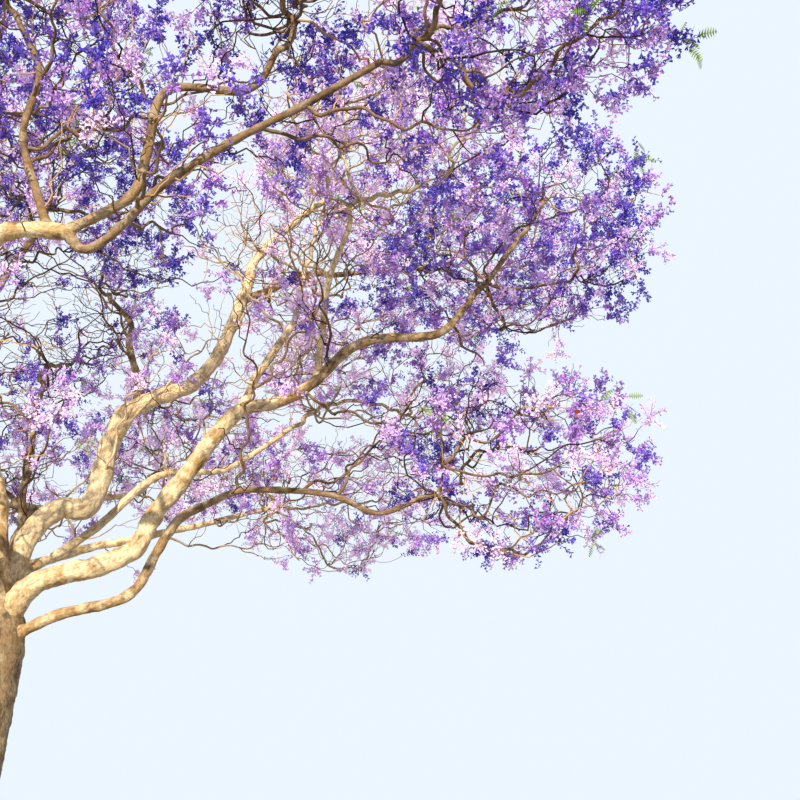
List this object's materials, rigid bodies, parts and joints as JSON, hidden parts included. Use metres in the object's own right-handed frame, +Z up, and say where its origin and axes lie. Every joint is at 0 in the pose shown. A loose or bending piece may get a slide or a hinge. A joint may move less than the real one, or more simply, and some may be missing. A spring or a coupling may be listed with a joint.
{
  "type": "jacaranda tree",
  "caption": "Mature jacaranda tree in full bloom: a short trunk with root flare forks low into winding boughs that spread an open, almost leafless crown of violet blossom.",
  "frame": {"origin": "middle of the flat cut under the trunk, at ground level", "axes": "+Z up along the trunk; +X towards the side where the low boughs reach furthest, the right in the picture; +Y away from the picture's camera"},
  "size_m": [17.1031, 15.236, 13.2653],
  "materials": {
    "bark": "sunlit sandy grey-brown bark, finely fissured and scaly",
    "blossom": "violet-blue to pale lilac trumpet blossom in loose sprays"
  },
  "bodies": {
    "root": {"trunk": "bark", "back_bough": "bark", "back_left_bough": "bark", "back_right_bough": "bark", "back_top_bough": "bark", "bottom_right_bough": "bark", "drooping_right_bough": "bark", "far_back_right_bough": "bark", "far_left_bough": "bark", "far_right_bough": "bark", "front_bough": "bark", "front_left_bough": "bark", "front_left_top": "bark", "front_middle_top": "bark", "front_right_bough": "bark", "front_right_top": "bark", "high_inner_bough": "bark", "high_outer_bough": "bark", "high_right_bough": "bark", "high_right_leader": "bark", "left_back_bough": "bark", "left_bough": "bark", "left_front_bough": "bark", "low_right_bough": "bark", "middle_bough": "bark", "slender_bough": "bark", "top_bough": "bark", "top_front_bough": "bark", "top_left_bough": "bark", "upright_right_bough": "bark", "back_left_blossom": "blossom", "back_right_blossom": "blossom", "back_top_blossom": "blossom", "drooping_right_blossom": "blossom", "far_back_right_blossom": "blossom", "far_left_blossom": "blossom", "far_right_blossom": "blossom", "front_left_blossom": "blossom", "front_left_top_blossom": "blossom", "front_middle_top_blossom": "blossom", "front_right_blossom": "blossom", "front_right_top_blossom": "blossom", "high_inner_blossom": "blossom", "high_outer_blossom": "blossom", "high_right_leader_blossom": "blossom", "left_back_blossom": "blossom", "left_front_blossom": "blossom", "slender_blossom": "blossom", "top_blossom": "blossom", "top_front_blossom": "blossom", "top_left_blossom": "blossom", "upright_right_blossom": "blossom"}
  },
  "joints": []
}
